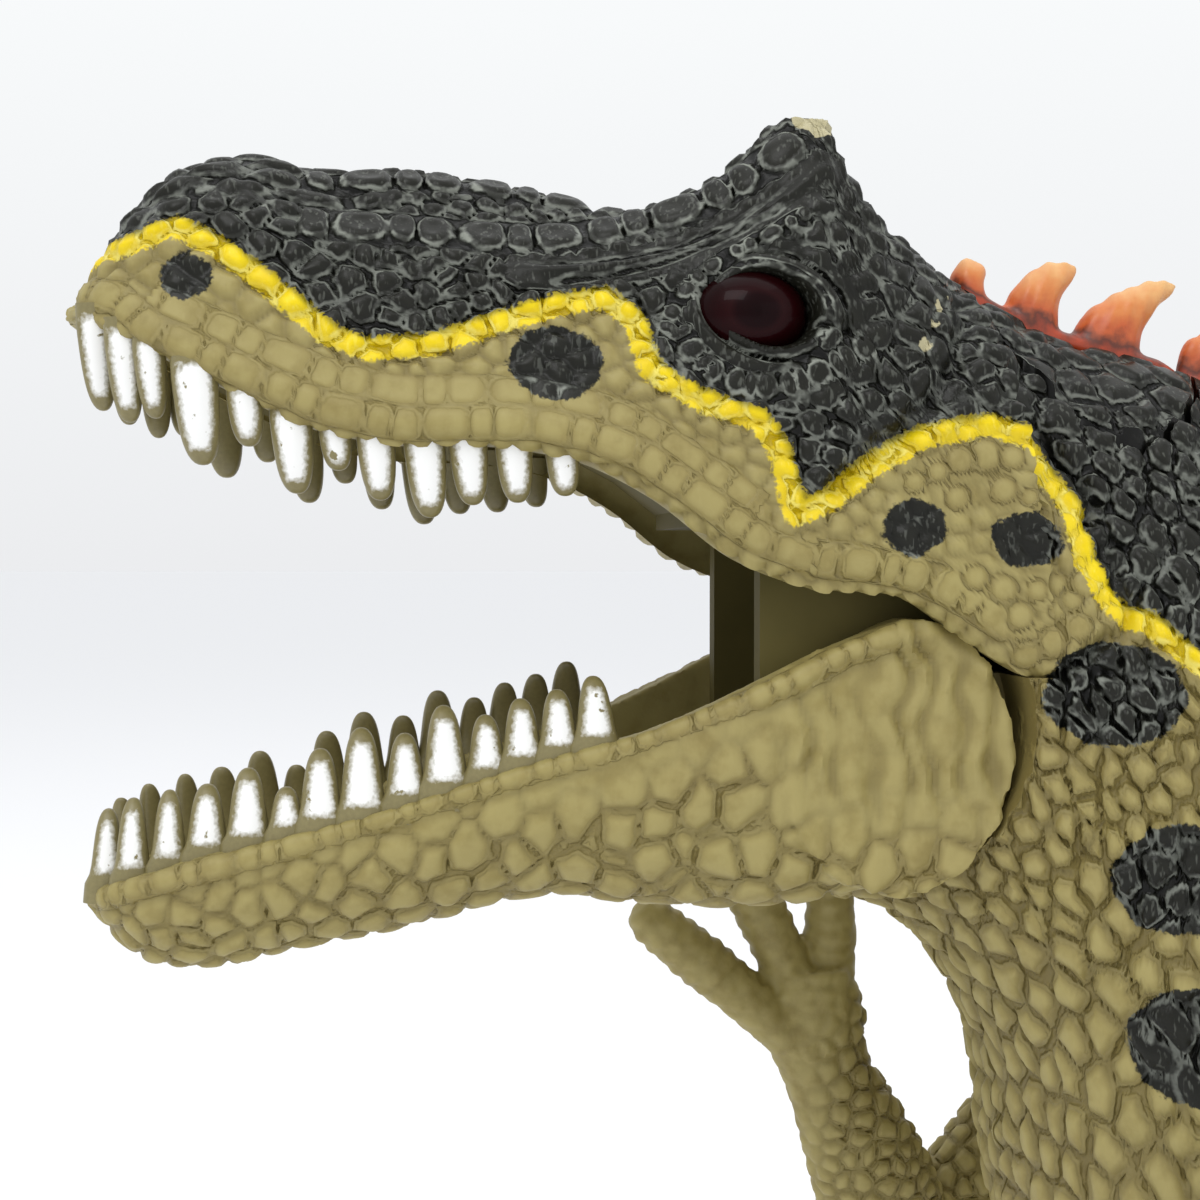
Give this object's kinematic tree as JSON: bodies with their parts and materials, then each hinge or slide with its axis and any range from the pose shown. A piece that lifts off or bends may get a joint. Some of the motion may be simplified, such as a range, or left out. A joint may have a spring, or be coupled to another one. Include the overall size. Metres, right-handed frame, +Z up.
{
  "type": "toy dinosaur figure",
  "caption": "Theropod dinosaur toy with a lever-driven chomping jaw, a press button under its neck spines, swinging limbs and a swivel tail.",
  "frame": {"origin": "on the ground under the middle of the figure's bounding box", "axes": "+X towards the tail, the snout towards -X, +Y towards the figure's right side, +Z up"},
  "size_m": [0.3286, 0.0804, 0.1596],
  "materials": {
    "painted_skin": "olive vinyl with sprayed charcoal back, yellow stripe and dark spots",
    "button_skin": "charcoal vinyl with orange spines",
    "crest": "orange vinyl with dark roots",
    "eye": "glossy dark red",
    "mouth_frame": "moulded olive",
    "mechanism": "unpainted natural acetal",
    "steel": "plain wire and plated screws"
  },
  "bodies": {
    "figure": {"skull_shell": "painted_skin", "eye_left": "eye", "eye_right": "eye", "mouth_frame": "mouth_frame", "jaw_pin": "steel", "jaw_spring": "steel", "body_shell_left": "painted_skin", "body_shell_right": "painted_skin", "back_crest": "crest", "body_screw_1": "steel", "body_screw_2": "steel", "body_screw_3": "steel", "body_screw_4": "steel", "body_screw_5": "steel", "body_screw_6": "steel"},
    "jaw": {"lower_jaw": "painted_skin", "jaw_lever": "mechanism"},
    "button": {"spine_button": "button_skin"},
    "left_arm": {"arm_left": "painted_skin", "shoulder_washer_left": "mechanism"},
    "right_arm": {"arm_right": "painted_skin", "shoulder_washer_right": "mechanism"},
    "left_leg": {"leg_left": "painted_skin", "hip_washer_left": "mechanism"},
    "right_leg": {"leg_right": "painted_skin", "hip_washer_right": "mechanism"},
    "tail_swing": {"tail": "painted_skin", "tail_washer": "mechanism"}
  },
  "joints": [
    {"name": "jaw_hinge", "type": "hinge", "parent": "figure", "child": "jaw", "pos_m": [-0.10763, 0, 0.11539], "axis": [0, 1, 0], "range_deg": [0, 31], "stiffness_Nm_per_rad": 0.02, "springref_deg": -20.05},
    {"name": "button_press", "type": "slide", "parent": "figure", "child": "button", "axis": [0, 0, -1], "range_m": [0, 0.0037]},
    {"name": "left_shoulder", "type": "hinge", "parent": "figure", "child": "left_arm", "pos_m": [-0.07896, -0.0201, 0.07885], "axis": [0, 1, 0], "range_deg": [-60, 60]},
    {"name": "right_shoulder", "type": "hinge", "parent": "figure", "child": "right_arm", "pos_m": [-0.07896, 0.0201, 0.07885], "axis": [0, 1, 0], "range_deg": [-80, 20]},
    {"name": "left_hip", "type": "hinge", "parent": "figure", "child": "left_leg", "pos_m": [-0.021, -0.0204, 0.1], "axis": [0, 1, 0], "range_deg": [-30, 14]},
    {"name": "right_hip", "type": "hinge", "parent": "figure", "child": "right_leg", "pos_m": [-0.021, 0.0204, 0.1], "axis": [0, 1, 0], "range_deg": [-30, 14]},
    {"name": "tail_swivel", "type": "hinge", "parent": "figure", "child": "tail_swing", "pos_m": [0.02898, 0, 0.10319], "axis": [1, 0, 0], "range_deg": [-30, 30]}
  ],
  "couplings": [
    {"joint": "button_press", "follows": "jaw_hinge", "m_per_rad": 0.0068}
  ]
}
